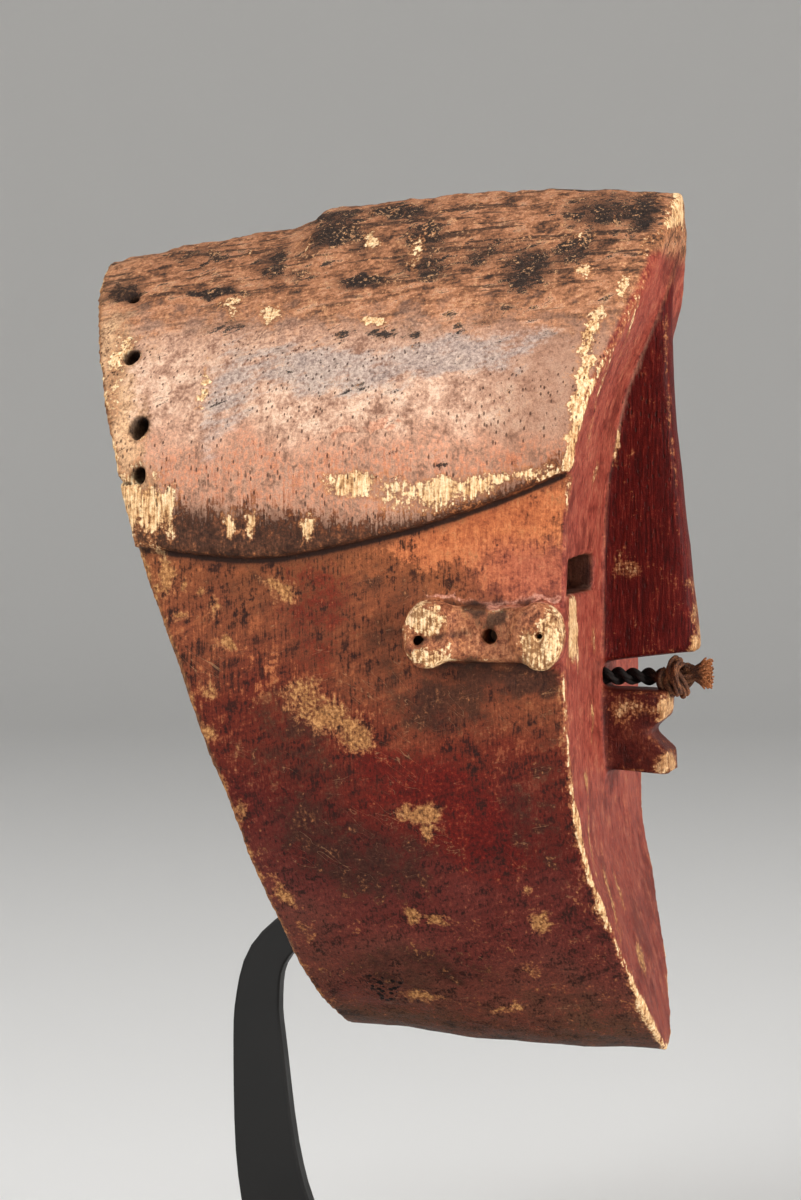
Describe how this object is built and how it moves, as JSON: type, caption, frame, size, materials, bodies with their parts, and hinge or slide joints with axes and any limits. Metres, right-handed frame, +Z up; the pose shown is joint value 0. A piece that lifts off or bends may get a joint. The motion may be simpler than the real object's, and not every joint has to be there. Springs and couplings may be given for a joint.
{
  "type": "lwalwa mask",
  "caption": "Carved and painted wooden face mask with a long blade nose and slit eyes, hung on a curved steel stand with a flat foot.",
  "frame": {"origin": "centre of the foot's underside", "axes": "+Z up, the face looks along -Y, +X across the mask"},
  "size_m": [0.194, 0.2268, 0.4222],
  "materials": {
    "painted_wood": "worn earth paint, satin",
    "cord_fibre": "dark twisted plant fibre, rough",
    "black_steel": "satin black"
  },
  "bodies": {
    "root": {"mask": "painted_wood", "bite_cord": "cord_fibre", "bite_cord_outer_knot": "cord_fibre", "bite_cord_inner_knot": "cord_fibre", "stand_arm": "black_steel", "stand_foot": "black_steel"}
  },
  "joints": []
}
